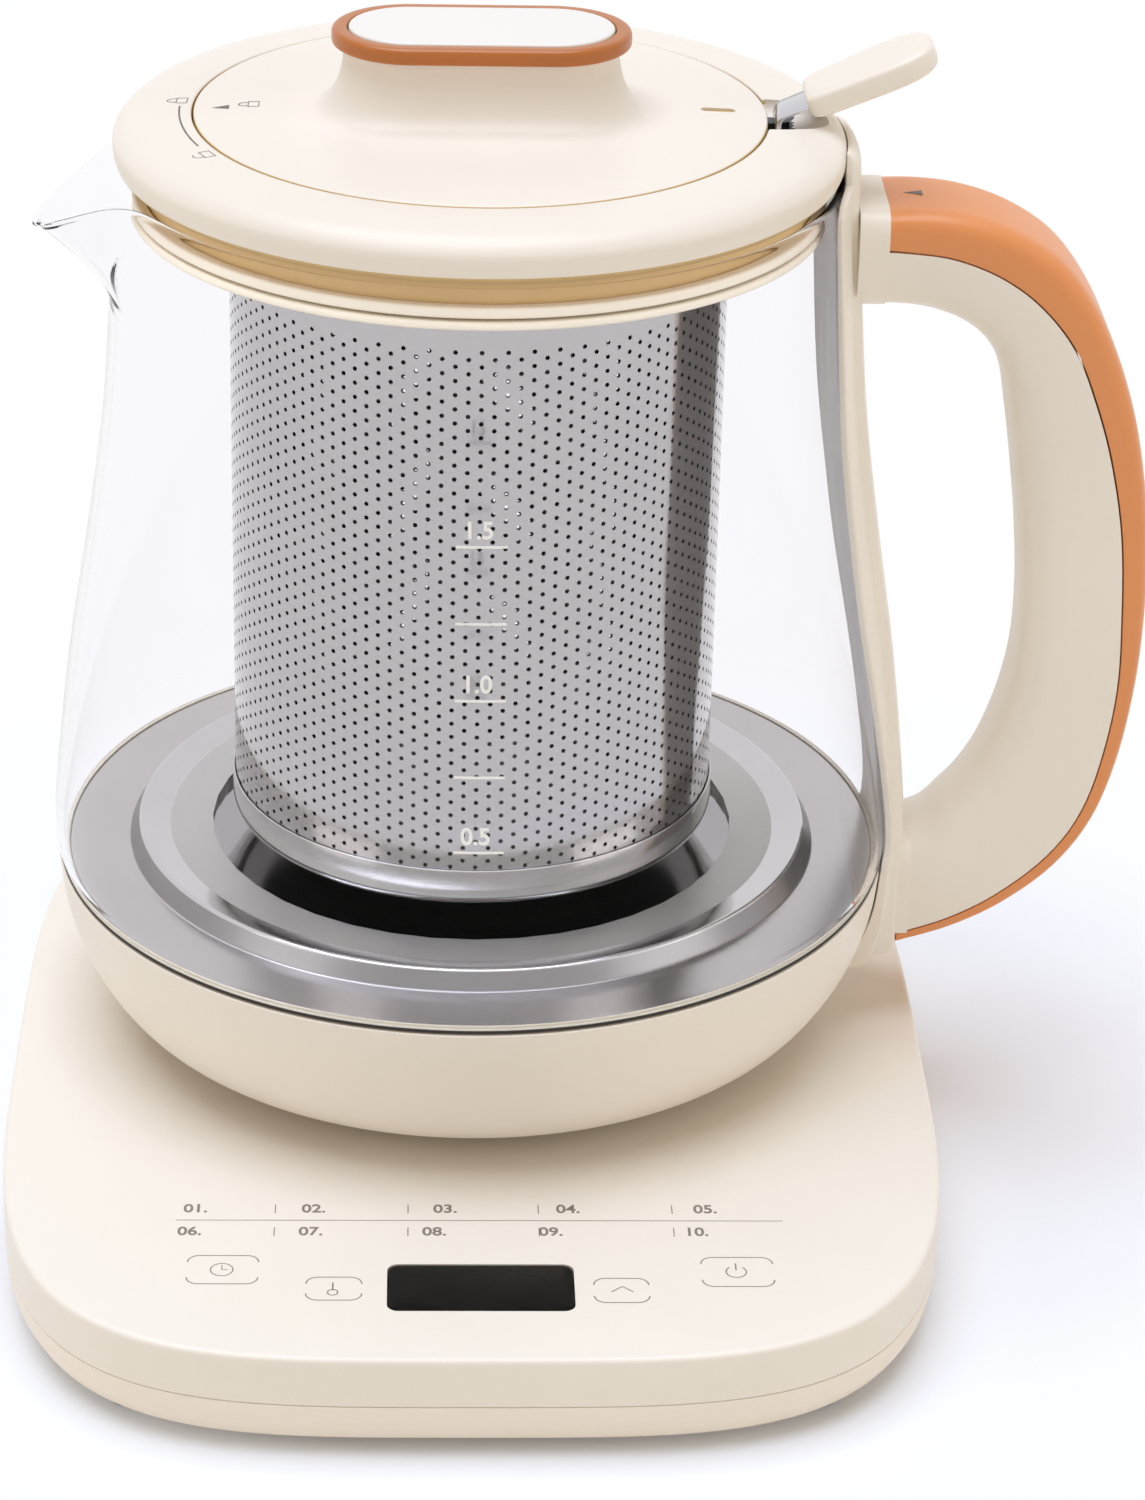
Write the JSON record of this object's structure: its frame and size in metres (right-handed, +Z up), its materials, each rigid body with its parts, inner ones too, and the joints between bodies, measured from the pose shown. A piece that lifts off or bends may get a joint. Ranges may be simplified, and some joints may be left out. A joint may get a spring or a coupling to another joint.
{
  "type": "electric tea kettle",
  "caption": "Glass electric tea kettle on a squared touch-key power base, with an infuser basket that hangs in a lid ring, a twist-lock inner lid and a D-shaped handle.",
  "frame": {"origin": "middle of the outer box, on the worktop", "axes": "+Z up, +X towards the handle, -Y out of the power base's front with the display"},
  "size_m": [0.226, 0.2354, 0.2296],
  "materials": {
    "cream_plastic": "satin",
    "pale_plastic": "satin",
    "orange_plastic": "satin",
    "clear_glass": "clear",
    "steel": "brushed",
    "contact_brass": "plain",
    "element_metal": "plain",
    "dark_window": "gloss",
    "dark_plastic": "matt",
    "grey_plastic": "matt",
    "circuit_board": "satin",
    "pale_rubber": "matt",
    "dark_rubber": "matt",
    "foot_rubber": "matt"
  },
  "bodies": {
    "base": {"base_top_cover": "cream_plastic", "base_bottom_cover": "cream_plastic", "base_connector": "grey_plastic", "centre_socket": "contact_brass", "ring_socket": "contact_brass", "cord_gland": "cream_plastic", "display_window": "dark_window", "display_module": "dark_plastic", "control_board": "circuit_board", "power_board": "circuit_board", "buzzer": "dark_plastic", "touch_spring_1": "steel", "touch_spring_2": "steel", "touch_spring_3": "steel", "touch_spring_4": "steel", "base_screw_1": "steel", "base_screw_2": "steel", "base_screw_3": "steel", "base_screw_4": "steel", "rubber_foot_1": "foot_rubber", "rubber_foot_2": "foot_rubber", "rubber_foot_3": "foot_rubber", "rubber_foot_4": "foot_rubber"},
    "trim_ring": {"connector_trim_ring": "cream_plastic"},
    "kettle": {"glass_jug": "clear_glass", "lower_shell": "cream_plastic", "shell_bottom_cover": "cream_plastic", "shell_screw_1": "steel", "shell_screw_2": "steel", "shell_screw_3": "steel", "kettle_connector": "grey_plastic", "centre_pin": "contact_brass", "ring_contact": "contact_brass", "heating_plate": "steel", "heating_element": "element_metal", "jug_seal": "dark_rubber", "temperature_sensor": "steel", "thermal_cutoff": "dark_plastic", "handle_spine": "cream_plastic", "handle_inner_shell": "cream_plastic", "handle_outer_shell": "orange_plastic", "handle_screw_1": "steel", "handle_screw_2": "steel"},
    "neck_ring": {"lid_ring": "cream_plastic", "neck_collar": "cream_plastic", "lower_gasket": "pale_rubber", "upper_gasket": "pale_rubber"},
    "basket": {"basket_wall": "steel", "basket_pan": "steel", "basket_rim": "steel", "basket_strip": "steel", "basket_grip": "cream_plastic"},
    "lid_seal": {"inner_lid_seal": "pale_rubber"},
    "inner_lid": {"inner_lid_cover": "cream_plastic", "inner_lid_liner": "cream_plastic", "knob_screw": "steel", "knob_band": "orange_plastic", "knob_cap": "pale_plastic"}
  },
  "joints": [
    {"name": "kettle_swivel", "type": "hinge", "parent": "base", "child": "trim_ring", "pos_m": [-0.021, 0.01925, 0.022], "axis": [0, 0, 1], "continuous": true},
    {"name": "kettle_lift", "type": "slide", "parent": "trim_ring", "child": "kettle", "axis": [0, 0, 1], "range_m": [0, 0.06]},
    {"name": "lid_ring_lift", "type": "slide", "parent": "kettle", "child": "neck_ring", "axis": [0, 0, 1], "range_m": [0, 0.15]},
    {"name": "basket_lift", "type": "slide", "parent": "neck_ring", "child": "basket", "axis": [0, 0, 1], "range_m": [0, 0.155]},
    {"name": "inner_lid_twist", "type": "hinge", "parent": "basket", "child": "lid_seal", "pos_m": [-0.021, 0.01925, 0.2066], "axis": [0, 0, 1], "range_deg": [0, 25]},
    {"name": "inner_lid_lift", "type": "slide", "parent": "lid_seal", "child": "inner_lid", "axis": [0, 0, 1], "range_m": [0, 0.05]}
  ]
}
